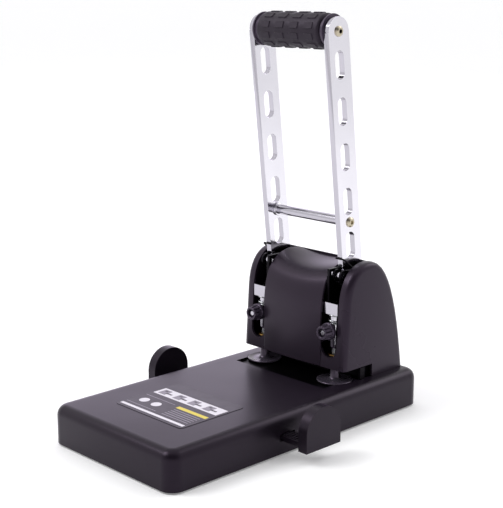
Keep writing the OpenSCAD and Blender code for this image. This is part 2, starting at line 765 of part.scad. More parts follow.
module arm() difference() {
    union() {
        on_handle(arm_in, arm_out)
            polygon([[0, 0.36*arm_w], [15, arm_w/2], [handle_reach, arm_w/2],
                [handle_reach, -arm_w/2], [15, -arm_w/2], [0, -0.36*arm_w]]);
        // a little narrower than the plate, so the round end crosses its end edge squarely
        rod(arm_in, arm_out, about_pivot(handle_reach, arm_dir), 0.97*arm_w);
        rod(arm_in, arm_out, [pivot_y, pivot_z], 0.8*arm_w);
    }
    rod(arm_in - 1, arm_out + 1, [pivot_y, pivot_z], shaft_d + 2*running_fit);
    rod(arm_in - 1, arm_out + 1, [crank_y, crank_z], crank_pin_d);
    rod(arm_in - 1, arm_out + 1, about_pivot(handle_reach, arm_dir), handle_screw_d);
    rod(arm_in - 1, arm_out + 1, about_pivot(crossbar_reach, arm_dir), handle_screw_d);
    on_handle(arm_in - 1, arm_out + 1) for (i = [0:slot_count - 1])
        translate([first_slot + i*slot_pitch, 1]) arm_slot();
}

module arm_slot() {
    half = (arm_slot_l - arm_slot_w)/2;
    square([2*half, arm_slot_w], center = true);
    for (s = [-1, 1]) translate([s*half, 0]) circle(d = arm_slot_w);
}

handle_screw_d = 5;
module left_arm() color(CHROME) side(-1) arm();
module right_arm() color(CHROME) side(1) arm();

// Two black cheeks, one on each face of the arm.
module crank() for (x0 = [arm_in - plate_t, arm_out]) difference() {
    on_handle(x0, x0 + plate_t) {
        circle(d = 20);
        translate([crank_along, crank_across]) circle(d = crank_pin_d + 4);
        polygon([[0, -8], [9, -5], [crank_along + 4.6, crank_across - 1],
            [crank_along - 4, crank_across + 2.6], [-4, 8]]);
    }
    rod(x0 - 1, x0 + plate_t + 1, [pivot_y, pivot_z], shaft_d + 2*running_fit);
    rod(x0 - 1, x0 + plate_t + 1, [crank_y, crank_z], crank_pin_d);
}

module left_crank() color(OXIDE) side(-1) crank();
module right_crank() color(OXIDE) side(1) crank();

module crank_pins() color(CHROME) both_sides()
    rod(yoke_x + 0.1, arm_out + plate_t + 1.2, [crank_y, crank_z], crank_pin_d);

collar_t = 4;
grip_half = arm_in - collar_t - 0.1;
module grip_core() color(STEEL) difference() {
    rod(-arm_in, arm_in, about_pivot(handle_reach, arm_dir), core_d);
    for (s = [-1, 1]) side(s)
        rod(arm_in - 16, arm_in + 1, about_pivot(handle_reach, arm_dir), handle_screw_d);
}

core_d = 12;
module grip() color(RUBBER) difference() {
    translate([0, about_pivot(handle_reach, arm_dir)[0], about_pivot(handle_reach, arm_dir)[1]])
        rotate([0, 90, 0]) rotate_extrude() polygon(concat(
            [[core_d/2, -grip_half], [grip_d/2 - 2, -grip_half]],
            [for (a = [10:20:90]) [grip_d/2 - 2 + 2*sin(a), -grip_half + 2 - 2*cos(a)]],
            [for (a = [90:20:170]) [grip_d/2 - 2 + 2*sin(a), grip_half - 2 - 2*cos(a)]],
            [[grip_d/2 - 2, grip_half], [core_d/2, grip_half]]));
}

module grip_collars() color(OXIDE) both_sides() difference() {
    union() {
        rod(grip_half, arm_in - 1.6, about_pivot(handle_reach, arm_dir), grip_d - 5);
        rod(arm_in - 1.6, arm_in, about_pivot(handle_reach, arm_dir), grip_d - 2);
    }
    rod(grip_half - 1, arm_in + 1, about_pivot(handle_reach, arm_dir), core_d);
}

// Button-head screw with a hexagon socket, its head on the arm's outer face.
module handle_screw(reach, length) difference() {
    p = about_pivot(reach, arm_dir);
    union() {
        rod(arm_out, arm_out + 0.9, p, 8);
        translate([arm_out + 0.9 - eps, p[0], p[1]]) rotate([0, 90, 0])
            cylinder(d1 = 8, d2 = 5.4, h = 1.2);
        rod(arm_out - length, arm_out + eps, p, handle_screw_d);
    }
    translate([arm_out + 0.6, p[0], p[1]]) rotate([0, 90, 0]) cylinder(d = 3.6, h = 3, $fn = 6);
}

module grip_screws() color(BRASS) both_sides() handle_screw(handle_reach, 16);
module crossbar_screws() color(BRASS) both_sides() handle_screw(crossbar_reach, 14);

module crossbar() color(CHROME) difference() {
    p = about_pivot(crossbar_reach, arm_dir);
    union() {
        rod(-arm_in, arm_in, p, crossbar_d);
        both_sides() rod(arm_in - 1.6, arm_in, p, crossbar_d + 3);
    }
    both_sides() rod(arm_in - 10, arm_in + 1, p, handle_screw_d);
}

// ---------------------------------------------------------------- paper guides

function involute(r, a) = r*[cos(a) + a*PI/180*sin(a), sin(a) - a*PI/180*cos(a)];
pressure_a = 20;
addendum = 0.8;
dedendum = 1.05;
backlash_a = 1.6;
base_circle = pinion_r*cos(pressure_a);
tip_circle = pinion_r + addendum*tooth_m;
root_circle = pinion_r - dedendum*tooth_m;
// Polar angle of an involute at the pitch circle.
pitch_roll = sqrt(pow(pinion_r/base_circle, 2) - 1)*180/PI;
pitch_polar = pitch_roll - pressure_a;

module pinion_outline() {
    half = 90/pinion_teeth - backlash_a/2 + pitch_polar;
    roll_end = sqrt(pow(tip_circle/base_circle, 2) - 1)*180/PI;
    flank = [for (i = [0:4]) involute(base_circle, roll_end*i/4)];
    turn = function(p, a) [p[0]*cos(a) - p[1]*sin(a), p[0]*sin(a) + p[1]*cos(a)];
    polygon([for (k = [0:pinion_teeth - 1]) let (c = 360*k/pinion_teeth) each concat(
        [turn([root_circle, 0], c - 180/pinion_teeth + 2)],
        [turn([root_circle, 0], c - half - 1)],
        [for (p = flank) turn(p, c - half)],
        [for (i = [4:-1:0]) turn([flank[i][0], -flank[i][1]], c + half)],
        [turn([root_circle, 0], c + half + 1)])]);
}

pin_d = 5;
module guide_pinion() color(BRASS) difference() {
    translate([0, pinion_y, bar_z]) linear_extrude(bar_t) rotate(90) pinion_outline();
    translate([0, pinion_y, bar_z - 1]) cylinder(r = pin_d/2 + running_fit, h = bar_t + 2);
}

// Bar with its rack, and the upright plate on its end. Drawn for the right guide.
module guide() translate([0, pinion_y, 0]) {
    pitch = PI*tooth_m;
    rack_from = floor((bar_end + 1)/pitch) + 1;
    rack_to = ceil((guide_in_stop + 4)/pitch) - 1;
    pitch_y = -pinion_r;
    tip = pitch_y + addendum*tooth_m;
    root = pitch_y - dedendum*tooth_m;
    half_tip = pitch/4 - addendum*tooth_m*tan(pressure_a) - 0.12;
    half_root = pitch/4 + dedendum*tooth_m*tan(pressure_a) - 0.12;
    translate([0, 0, bar_z]) linear_extrude(bar_t) union() {
        translate([bar_end, root - bar_w + 2]) square([guide_at - bar_end + 1, bar_w - 2]);
        for (k = [rack_from:rack_to]) let (c = (k + 0.5)*pitch)
            polygon([[c - half_root, root - eps], [c - half_tip, tip], [c + half_tip, tip],
                [c + half_root, root - eps]]);
    }
    for (x = [36:3:guide_at - 4]) translate([x, root - bar_w + 3.5, bar_z + bar_t - eps])
        cube([1.2, bar_w - 5, rib_h + eps]);
    translate([guide_at, pitch_y + 1.5, 0]) guide_plate();
}

// Upright plate with a round top.
module guide_plate() {
    half = guide_plate_w/2;
    rise = guide_plate_top - guide_bottom;
    translate([0, 0, guide_bottom]) rotate([90, 0, 90]) linear_extrude(guide_t)
        guide_outline(half, rise);
}

// A flat bottom, straight sides and a half-round top.
module guide_outline(half, rise) polygon(concat([[-half, 0], [half, 0]],
    [for (a = [0:4.5:180]) [half*cos(a), rise - half + half*sin(a)]]));

module right_guide() color(BLACK) guide();
module left_guide() color(BLACK) translate([0, 2*pinion_y, 0]) rotate([0, 0, 180]) guide();

// Channel on the bottom plate that the two bars run in, with the pinion's post.
channel_half_l = 42;
module guide_channel() color(OXIDE) translate([0, pinion_y, 0]) {
    half_w = pinion_r + dedendum*tooth_m + bar_w + 0.5;
    difference() {
        translate([-channel_half_l, -half_w, floor_z])
            cube([2*channel_half_l, 2*half_w, bar_z + bar_t - floor_z]);
        translate([-channel_half_l - 1, -half_w + 2.2, bar_z - 0.2])
            cube([2*channel_half_l + 2, 2*half_w - 4.4, bar_t + 2]);
        translate([-channel_half_l + 2, -half_w + 4, floor_z - 1])
            cube([2*channel_half_l - 4, 2*half_w - 8, bar_z - floor_z - 1.2]);
    }
    translate([0, 0, bar_z - 0.2 - eps]) cylinder(d = pin_d, h = bar_t + 2);
}

// ---------------------------------------------------------------- chip tray

tray_half = punch_x + 6;
tray_top = bed_top - bed_t - 2.2;
tray_front = bed_front + 9.5;
tray_wall = 1.6;
module chip_tray() color(BLACK) {
    z0 = floor_z + 0.4;
    back = base_l/2 - base_wall;
    difference() {
        translate([-tray_half + 0.4, tray_front, z0])
            cube([2*tray_half - 0.8, back - tray_front + eps, tray_top - z0 - 0.6]);
        translate([-tray_half + 0.4 + tray_wall, tray_front + tray_wall, z0 + tray_wall])
            cube([2*(tray_half - 0.4 - tray_wall), back - tray_front - 2*tray_wall, tray_top]);
    }
    difference() {
        translate([-tray_half, back, foot_h + 0.3])
            cube([2*tray_half, base_wall, tray_top - foot_h - 0.3]);
        translate([0, base_l/2 + 18.5, foot_h - 1]) cylinder(r = 20, h = tray_top + 2);
    }
}

base_cover();
bottom_plate();
rubber_feet();
base_screws();
die_bed();
die_buttons();
bed_posts();
back_stop();
label_plate();
guide_channel();
left_outer_frame();
left_inner_frame();
right_outer_frame();
right_inner_frame();
guide_block();
punch_bushings();
guide_posts();
pivot_shaft();
shaft_clips();
tie_rod();
frame_screws();
return_springs();
left_torsion_spring();
right_torsion_spring();
left_cover();
right_cover();
centre_cover();
rear_cover();
crosshead();
left_yoke();
right_yoke();
left_holder();
right_holder();
left_punch();
right_punch();
cushion_springs();
left_knob();
left_clamp_screw();
right_knob();
right_clamp_screw();
left_hold_down();
right_hold_down();
left_arm();
right_arm();
left_crank();
right_crank();
crank_pins();
grip_core();
grip();
grip_collars();
grip_screws();
crossbar();
crossbar_screws();
left_spring_hook();
right_spring_hook();
left_guide();
right_guide();
guide_pinion();
chip_tray();
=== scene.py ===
# %% [markdown]
# # A heavy-duty two-hole paper punch
# The punch has a long moulded base, a tower that holds two punches, and a tall lever handle.
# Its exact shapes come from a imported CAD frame. This file gives every piece its finish and
# its fine detail: softened edges, grip pads, fluted knobs, turned discs, wound springs and a
# printed label.

# %% Load the frame
import json
import math

import bmesh
import bpy
from mathutils import Matrix, Vector


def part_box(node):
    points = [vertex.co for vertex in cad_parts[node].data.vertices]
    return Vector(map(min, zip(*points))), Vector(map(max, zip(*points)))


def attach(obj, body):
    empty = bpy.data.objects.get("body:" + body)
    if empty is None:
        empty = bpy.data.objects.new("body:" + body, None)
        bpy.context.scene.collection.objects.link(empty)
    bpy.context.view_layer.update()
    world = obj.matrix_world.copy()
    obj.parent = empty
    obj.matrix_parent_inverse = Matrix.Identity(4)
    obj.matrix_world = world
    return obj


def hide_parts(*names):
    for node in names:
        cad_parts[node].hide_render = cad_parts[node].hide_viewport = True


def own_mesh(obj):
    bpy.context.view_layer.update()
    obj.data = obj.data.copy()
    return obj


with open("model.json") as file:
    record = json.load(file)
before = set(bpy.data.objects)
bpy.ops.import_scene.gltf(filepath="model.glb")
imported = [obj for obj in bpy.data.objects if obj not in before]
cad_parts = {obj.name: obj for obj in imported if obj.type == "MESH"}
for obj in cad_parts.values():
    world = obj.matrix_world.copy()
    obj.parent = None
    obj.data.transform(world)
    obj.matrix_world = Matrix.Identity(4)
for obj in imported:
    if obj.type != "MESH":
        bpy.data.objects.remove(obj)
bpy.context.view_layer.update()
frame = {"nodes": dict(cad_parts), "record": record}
mm = 0.001
body_of_node = {node: body for body, nodes in frame["record"]["behaviour"]["bodies"].items()
                for node in nodes}
slot_of_node = {part["node"]: part["material_slot"] for part in frame["record"]["subparts"]}

# %% [markdown]
# ## Camera
# A camera is placed by the point it stands on and the direction it looks in. Three unit
# vectors (right, up, back) are the columns of its turn. This is exact, where a tracking
# constraint would have to be baked.

# %% Camera
view_azimuth = math.radians(46.04)
view_elevation = math.radians(12.85)
eye = Vector((654.1, -622.2, 343.9)) * mm
ahead = Vector((-math.sin(view_azimuth) * math.cos(view_elevation),
                math.cos(view_azimuth) * math.cos(view_elevation), -math.sin(view_elevation)))
right = Vector((math.cos(view_azimuth), math.sin(view_azimuth), 0))
up = right.cross(ahead)
camera = bpy.data.objects.new("camera", bpy.data.cameras.new("camera"))
camera.data.sensor_width = 36
camera.data.lens = 84.8
camera.data.clip_end = 200
turn = Matrix((right, up, -ahead)).transposed()
camera.matrix_world = Matrix.Translation(eye) @ turn.to_4x4()
bpy.context.collection.objects.link(camera)
bpy.context.scene.camera = camera
punch_middle = Vector((0, 0.02, 0.12))
print("camera stands", round((eye - punch_middle).length, 3), "m away")

# %% [markdown]
# ## Helpers for materials
# A colour is written as people write it, in sRGB hex, and one function turns it linear.
# One small function adds a node, sets it and links it, so that a material reads as a list.

# %% Colours and nodes
def linear(hex_colour):
    """The linear RGBA of an sRGB hex colour."""
    channels = [int(hex_colour[i:i + 2], 16) / 255 for i in (1, 3, 5)]
    return tuple(c / 12.92 if c <= 0.04045 else ((c + 0.055) / 1.055) ** 2.4
                 for c in channels) + (1,)


def add(tree, kind, inputs=None, **settings):
    """Adds one node: settings are its properties; inputs are values or outputs to link."""
    node = tree.nodes.new(kind)
    for name, value in settings.items():
        setattr(node, name, value)
    for name, value in (inputs or {}).items():
        if isinstance(value, bpy.types.NodeSocket):
            tree.links.new(value, node.inputs[name])
        else:
            node.inputs[name].default_value = value
    return node


def new_material(name):
    """An empty node material, with its shader, its output and Object coordinates in mm."""
    made = bpy.data.materials.new(name)
    made.use_nodes = True
    tree = made.node_tree
    tree.nodes.clear()
    shader = add(tree, "ShaderNodeBsdfPrincipled")
    add(tree, "ShaderNodeOutputMaterial", {"Surface": shader.outputs[0]})
    place = add(tree, "ShaderNodeTexCoord")
    in_mm = add(tree, "ShaderNodeMapping", {"Vector": place.outputs["Object"],
                                            "Scale": (1 / mm, 1 / mm, 1 / mm)})
    return made, tree, shader, in_mm.outputs[0]


def blotches(tree, where, size_mm, detail=3.0):
    """Soft noise whose blotches are about that many millimetres across."""
    return add(tree, "ShaderNodeTexNoise", {"Vector": where, "Scale": 1 / size_mm,
                                            "Detail": detail}).outputs[0]


def ramp(tree, factor, low, high):
    """Maps a 0 to 1 factor onto low to high."""
    return add(tree, "ShaderNodeMapRange", {"Value": factor, "From Min": 0.3, "From Max": 0.7,
                                            "To Min": low, "To Max": high}).outputs[0]


def tint(tree, factor, dark, light):
    """A colour between two hex colours."""
    mix = add(tree, "ShaderNodeMix", data_type="RGBA")
    tree.links.new(factor, mix.inputs[0])
    mix.inputs[6].default_value = linear(dark)
    mix.inputs[7].default_value = linear(light)
    return mix.outputs[2]


print("black ABS is", [round(v, 4) for v in linear("#110c13")[:3]], "in linear light")

# %% [markdown]
# ## Finishes
# Each finish starts from the real material and from how its surface was made. The grain of a
# mould is about 0.25 mm across, which is too fine to show on a whole punch, so it is drawn at
# 0.6 mm. Grinding marks are drawn out along one axis, and polish only varies the gloss.

# %% Moulded plastics
def moulded_plastic(name, dark, light, roughness, gloss_level, grain_depth_mm):
    """Black ABS, nylon or acetal from a spark-eroded mould: satin, with a fine even grain."""
    made, tree, shader, where = new_material(name)
    shader.inputs["IOR"].default_value = 1.53
    shader.inputs["Specular IOR Level"].default_value = gloss_level
    shader.inputs["Specular Tint"].default_value = linear("#f4dcff")
    shader.inputs["Sheen Weight"].default_value = 0.06
    shader.inputs["Sheen Roughness"].default_value = 0.35
    shader.inputs["Sheen Tint"].default_value = linear("#d9b8f0")
    shade = tint(tree, blotches(tree, where, 30), dark, light)
    tree.links.new(shade, shader.inputs["Base Color"])
    gloss = ramp(tree, blotches(tree, where, 40), roughness - 0.01, roughness + 0.03)
    tree.links.new(gloss, shader.inputs["Roughness"])
    bump = add(tree, "ShaderNodeBump", {"Height": blotches(tree, where, 0.6, 1.0),
                                        "Strength": 0.15, "Distance": grain_depth_mm * mm})
    tree.links.new(bump.outputs[0], shader.inputs["Normal"])
    return made


finish = {
    "base_plastic": moulded_plastic("moulded_abs_base", "#110c13", "#141016", 0.3, 0.2, 0.006),
    "cover_plastic": moulded_plastic("moulded_abs_tower", "#1c161e", "#1f1922", 0.28, 0.24, 0.006),
    "knob_plastic": moulded_plastic("moulded_nylon_knob", "#27222c", "#332d38", 0.32, 0.5, 0.01),
    "disc_plastic": moulded_plastic("polished_acetal_disc", "#353139", "#403c44", 0.24, 0.5, 0.004),
}
print("moulded finishes:", sorted(finish))

# %% [markdown]
# Chrome plate on polished steel is a mirror whose gloss is only slightly uneven. The arms' edges
# get a darker painted colour, a painted reflection of dark surroundings. Bright steel, zinc plate
# and black oxide keep faint marks from the grinder or the bath.

# %% Metals
def metal(name, dark, light, roughness, spread, mark_mm, depth_mm, along=(1, 1, 1),
          painted_edge_shade=None):
    """A metal whose marks are that many millimetres across, drawn out along an axis. On a plate
    that faces X, the edge faces get a darker painted colour, a painted reflection of dark
    surroundings."""
    made, tree, shader, where = new_material(name)
    shader.inputs["Metallic"].default_value = 1
    drawn = add(tree, "ShaderNodeMapping", {"Vector": where, "Scale": along}).outputs[0]
    marks = blotches(tree, drawn, mark_mm, 4.0)
    colour = tint(tree, blotches(tree, where, 20), dark, light)
    # The edge faces, which don't face X, get a darker colour: a painted reflection of dark
    # surroundings.
    if painted_edge_shade:
        facing = add(tree, "ShaderNodeSeparateXYZ",
                     {0: add(tree, "ShaderNodeTexCoord").outputs["Normal"]}).outputs[0]
        face = add(tree, "ShaderNodeMath", {0: facing}, operation="ABSOLUTE").outputs[0]
        mix = add(tree, "ShaderNodeMix", {0: face}, data_type="RGBA")
        mix.inputs[6].default_value = linear(painted_edge_shade)
        tree.links.new(colour, mix.inputs[7])
        colour = mix.outputs[2]
    tree.links.new(colour, shader.inputs["Base Color"])
    tree.links.new(ramp(tree, marks, roughness, roughness + spread), shader.inputs["Roughness"])
    bump = add(tree, "ShaderNodeBump", {"Height": marks, "Strength": 0.2,
                                        "Distance": depth_mm * mm})
    tree.links.new(bump.outputs[0], shader.inputs["Normal"])
    return made


finish |= {
    # The arms' edge faces get a darker grey: a painted reflection.
    "chrome": metal("chrome_plate", "#dad8df", "#e2e0e7", 0.08, 0.06, 3.0, 0.002,
                    painted_edge_shade="#b0adb6"),
    "steel": metal("zinc_plated_steel", "#8f9195", "#a5a7aa", 0.26, 0.18, 0.5, 0.006, (0.15, 1, 1)),
    "tool_steel": metal("ground_tool_steel", "#85878b", "#97999c", 0.2, 0.15, 0.3, 0.004),
    "spring_steel": metal("bright_spring_wire", "#9fa1a4", "#b9babd", 0.16, 0.1, 1.0, 0.003),
    "black_oxide_steel": metal("black_oxide_steel", "#110f13", "#1a171c", 0.34, 0.14, 0.8, 0.006),
    "brass": metal("turned_brass", "#b08a4a", "#c49d5c", 0.2, 0.12, 0.4, 0.004),
    "zinc_screws": metal("yellow_zinc_plate", "#a39a86", "#c9bfa9", 0.22, 0.14, 0.8, 0.004),
}
print("metal finishes:", sorted(k for k in finish if "steel" in k or k in ("chrome", "brass")))

# %% [markdown]
# Moulded rubber is matt, and its dust and handling leave it a little uneven.

# %% Rubber
def moulded_rubber(name, dark, light):
    """Matt nitrile rubber with a pebbled skin."""
    made, tree, shader, where = new_material(name)
    shader.inputs["IOR"].default_value = 1.52
    shader.inputs["Specular IOR Level"].default_value = 0.28
    shader.inputs["Specular Tint"].default_value = linear("#f4e0ff")
    tree.links.new(tint(tree, blotches(tree, where, 9), dark, light),
                   shader.inputs["Base Color"])
    tree.links.new(ramp(tree, blotches(tree, where, 3), 0.42, 0.56), shader.inputs["Roughness"])
    pebbles = add(tree, "ShaderNodeTexVoronoi", {"Vector": where, "Scale": 1 / 0.7})
    bump = add(tree, "ShaderNodeBump", {"Height": pebbles.outputs[0], "Strength": 0.3,
                                        "Distance": 0.05 * mm})
    tree.links.new(bump.outputs[0], shader.inputs["Normal"])
    return made


finish["rubber"] = moulded_rubber("moulded_rubber", "#151217", "#1c181e")
print("rubber ready")

# %% [markdown]
# The label is printed film. Its bands are drawn with arithmetic on the place in the label's
# own plane: inside a rectangle, a comparison gives 1 on both axes. Nothing on it is lettering.
# Each ink is a row of low and high places across and along the label, in millimetres from
# its centre, and a colour. The inks are printed one over another in the order given.

# %% Printed label
label_low, label_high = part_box("label_plate")
label_centre = (label_low + label_high) / 2


def patch(tree, across, along, x0, x1, y0, y1):
    """1 inside a rectangle given in millimetres from the label's centre."""
    inside = None
    for value, low, high in ((across, x0, x1), (along, y0, y1)):
        middle, half = (low + high) / 2, (high - low) / 2
        near = add(tree, "ShaderNodeMath", {0: value, 1: middle, 2: half},
                   operation="COMPARE").outputs[0]
        inside = near if inside is None else add(
            tree, "ShaderNodeMath", {0: inside, 1: near}, operation="MULTIPLY").outputs[0]
    return inside


def over(tree, below, mask, colour):
    """Prints one ink over what is below it."""
    mix = add(tree, "ShaderNodeMix", data_type="RGBA")
    tree.links.new(mask, mix.inputs[0])
    if isinstance(below, str):
        mix.inputs[6].default_value = linear(below)
    else:
        tree.links.new(below, mix.inputs[6])
    mix.inputs[7].default_value = linear(colour)
    return mix.outputs[2]


def printed_label():
    """Black printed polyester film with pale bands, a yellow band and plain shapes."""
    made, tree, shader, where = new_material("printed_polyester_film")
    shader.inputs["IOR"].default_value = 1.5
    shader.inputs["Specular IOR Level"].default_value = 0.22
    shader.inputs["Specular Tint"].default_value = linear("#f4dcff")
    parts = add(tree, "ShaderNodeSeparateXYZ", {"Vector": where}).outputs
    across = add(tree, "ShaderNodeMath", {0: parts[0], 1: label_centre.x / mm},
                 operation="SUBTRACT").outputs[0]
    along = add(tree, "ShaderNodeMath", {0: parts[1], 1: label_centre.y / mm},
                operation="SUBTRACT").outputs[0]
    pale, grey, dark, yellow = "#d4d1d8", "#7b7780", "#2a282c", "#d2bf22"
    inks = [(-38.2, 38.2, -31.7, 31.7, "#050406"), (-37.3, 37.3, -30.8, 30.8, "#18151a"),
            (-36, 36, -28.5, -25.5, pale), (3, 36, -6.5, -2.5, yellow), (-36, 36, 4, 17, pale)]
    inks += [(x, x + 8, 6, 15, grey) for x in (-33, -16, 1, 18)]
    inks += [(x + 6, x + 13, 8.5, 10.5, dark) for x in (-33, -16, 1, 18)]
    inks += [(x + 2, x + 5, 11.5, 13.5, dark) for x in (-33, -16, 1, 18)]
    inks += [(5, 34, y, y + 0.9, grey) for y in (-10, -13, -16, -19, -22)]
    inks += [(-36, -2, y, y + 0.7, grey) for y in (-22, -3)]
    colour = "#1b191c"
    for x0, x1, y0, y1, ink in inks:
        colour = over(tree, colour, patch(tree, across, along, x0, x1, y0, y1), ink)
    dot_radius, dots_below_centre = 4.2, 12
    for x in (-27, -13):
        dot = (x + label_centre.x / mm, label_centre.y / mm - dots_below_centre,
               label_high.z / mm)
        away = add(tree, "ShaderNodeVectorMath", {0: where, 1: dot},
                   operation="DISTANCE").outputs["Value"]
        colour = over(tree, colour, add(tree, "ShaderNodeMath", {0: away, 1: dot_radius},
                                        operation="LESS_THAN").outputs[0], pale)
    tree.links.new(colour, shader.inputs["Base Color"])
    tree.links.new(ramp(tree, blotches(tree, where, 8), 0.28, 0.34), shader.inputs["Roughness"])
    return made


finish["label"] = printed_label()
print("label is", round((label_high.x - label_low.x) / mm, 1), "mm wide")

# %% [markdown]
# ## Floor, light and sky
# The punch stands on a plain pale floor under soft studio light. The sky is white, and
# darker only high up on one side. A large soft key stands at the front left and above, a
# weaker light behind catches the rims, and a low violet one reaches the left side.

# %% Stage
# Half the floor's side, in metres, and how strongly it glows by itself.
floor_half_size = 60
floor_glow = 0.16


def studio_floor():
    """A pale matt floor, large enough that its edge isn't seen."""
    made, tree, shader, where = new_material("matt_white_floor")
    tree.links.new(tint(tree, blotches(tree, where, 400), "#f1f1f2", "#f5f5f6"),
                   shader.inputs["Base Color"])
    shader.inputs["Roughness"].default_value = 0.7
    shader.inputs["Emission Color"].default_value = (1, 1, 1, 1)
    shader.inputs["Emission Strength"].default_value = floor_glow
    mesh = bpy.data.meshes.new("floor")
    shape = bmesh.new()
    bmesh.ops.create_grid(shape, x_segments=2, y_segments=2, size=floor_half_size)
    shape.to_mesh(mesh)
    shape.free()
    floor = bpy.data.objects.new("floor", mesh)
    mesh.materials.append(made)
    bpy.context.collection.objects.link(floor)


def soft_light(name, place, watts, size, colour="#ffffff"):
    """A square area light that faces the middle of the punch. Lengths are in metres."""
    lamp = bpy.data.lights.new(name, "AREA")
    lamp.energy, lamp.size = watts, size
    lamp.color = linear(colour)[:3]
    held = bpy.data.objects.new(name, lamp)
    held.location = place
    aim = punch_middle - held.location
    held.rotation_euler = aim.to_track_quat("-Z", "Y").to_euler()
    bpy.context.collection.objects.link(held)


studio_floor()
soft_light("key_light", Vector((-0.9, -1.2, 1.7)), 20, 1.0)
soft_light("rim_light", Vector((0.5, 1.5, 1.3)), 7, 1.0)
soft_light("low_light", Vector((-2.3, 1.4, 0.8)), 6, 1.6, "#e6cdff")


def studio_sky():
    """White all round, but darker high up on one side, where a studio keeps no lamp."""
    sky = bpy.data.worlds.new("pale_sky")
    sky.use_nodes = True
    tree = sky.node_tree
    tree.nodes.clear()
    toward = add(tree, "ShaderNodeTexCoord").outputs["Generated"]
    dark_side = (0.70, -0.71, 0.05)
    side = add(tree, "ShaderNodeVectorMath", {0: toward, 1: dark_side},
               operation="DOT_PRODUCT").outputs["Value"]
    shade = add(tree, "ShaderNodeMapRange", {"Value": side, "From Min": 0.1, "From Max": 0.8},
                interpolation_type="SMOOTHSTEP").outputs[0]
    height = add(tree, "ShaderNodeSeparateXYZ", {0: toward}).outputs[2]
    high_up = add(tree, "ShaderNodeMapRange", {"Value": height, "From Min": 0.12,
                                               "From Max": 0.38}).outputs[0]
    shade = add(tree, "ShaderNodeMath", {0: shade, 1: high_up}, operation="MULTIPLY").outputs[0]
    light = add(tree, "ShaderNodeBackground", {"Color": tint(tree, shade, "#ffffff", "#55535a"),
                                               "Strength": 1.12})
    add(tree, "ShaderNodeOutputWorld", {"Surface": light.outputs[0]})
    bpy.context.scene.world = sky


studio_sky()
bpy.context.scene.view_settings.view_transform = "Standard"

# %% [markdown]
# ## Softened copies of the machined and moulded pieces
# The frame's meshes are loose triangles with knife edges. A real edge is broken by a
# deburring tool or by the mould's radius, and it catches a thin line of light. Each visible
# piece is therefore a merged copy with its flat faces joined, its curved faces shaded
# smooth, and a Bevel of that piece's own size. The back stop is blackened like the die bed
# that it stands on.

# %% Softened copies
slot_of_node["back_stop"] = "black_oxide_steel"


def adopt(piece, node, *more_nodes):
    """Lets a finished piece stand for its CAD node: its body and its place."""
    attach(piece, body_of_node[node])
    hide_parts(node, *more_nodes)
    return piece


def softened(node, edge_mm):
    """A merged copy of a CAD node with broken edges."""
    smooth_angle, bevel_angle = math.radians(32), math.radians(35)
    shape = bmesh.new()
    shape.from_mesh(frame["nodes"][node].data)
    bmesh.ops.remove_doubles(shape, verts=shape.verts, dist=0.002 * mm)
    bmesh.ops.dissolve_limit(shape, angle_limit=math.radians(0.4), verts=shape.verts,
                             edges=shape.edges)
    mesh = bpy.data.meshes.new(node + "_shape")
    shape.to_mesh(mesh)
    shape.free()
    mesh.shade_smooth()
    mesh.set_sharp_from_angle(angle=smooth_angle)
    mesh.materials.append(finish[slot_of_node[node]])
    piece = bpy.data.objects.new(node + "_piece", mesh)
    bpy.context.collection.objects.link(piece)
    if edge_mm:
        edge = piece.modifiers.new("broken_edges", "BEVEL")
        edge.width = edge_mm * mm
        edge.segments = 2
        edge.limit_method = "ANGLE"
        edge.angle_limit = bevel_angle
        edge.use_clamp_overlap = True
        edge.harden_normals = True
    return adopt(piece, node)


# The width of each broken edge in millimetres, or 0 where the CAD edge stays as it is.
edge_sizes = {
    "base_cover": 0, "left_cover": 0.4, "right_cover": 0.4, "centre_cover": 0.5,
    "rear_cover": 0.5, "left_arm": 0.5, "right_arm": 0.5, "left_crank": 0.3,
    "right_crank": 0.3, "crosshead": 0.5, "left_yoke": 0.3, "right_yoke": 0.3,
    "left_holder": 0.2, "right_holder": 0.2, "crossbar": 0.4, "grip_collars": 0.5,
    "grip_screws": 0.2, "crossbar_screws": 0.2, "left_guide": 1.2, "right_guide": 1.2,
    "back_stop": 0.3, "die_bed": 0.3, "guide_block": 0.4, "chip_tray": 0.4,
    "left_outer_frame": 0.3, "right_outer_frame": 0.3, "left_inner_frame": 0.3,
    "right_inner_frame": 0.3, "label_plate": 0.08, "bottom_plate": 0.2, "rubber_feet": 0.3,
    "left_spring_hook": 0, "right_spring_hook": 0, "left_torsion_spring": 0,
    "right_torsion_spring": 0, "left_clamp_screw": 0.2, "right_clamp_screw": 0.2,
}
softened_pieces = {node: softened(node, size) for node, size in edge_sizes.items()}
for node, item in frame["nodes"].items():
    if node not in softened_pieces:
        item.data.materials.clear()
        item.data.materials.append(finish[slot_of_node[node]])
print(len(softened_pieces), "softened pieces,", len(frame["nodes"]), "CAD nodes")

# %% [markdown]
# ## Geometry Nodes: a tree in the script
# What repeats is made by a rule. A tree is built in code with named inputs, run once on an
# empty object, and its result kept as a plain mesh, so that the piece needs no live modifier.

# %% Run a tree
def node_tree(name, **inputs):
    """A geometry tree with float inputs of those names and default values."""
    tree = bpy.data.node_groups.new(name, "GeometryNodeTree")
    for label, value in inputs.items():
        entry = tree.interface.new_socket(label, in_out="INPUT", socket_type="NodeSocketFloat")
        entry.default_value = value
    tree.interface.new_socket("Geometry", in_out="OUTPUT", socket_type="NodeSocketGeometry")
    return tree, add(tree, "NodeGroupInput").outputs


def calc(tree, operation, first, second=0.0):
    """One sum on two numbers."""
    return add(tree, "ShaderNodeMath", {0: first, 1: second}, operation=operation).outputs[0]


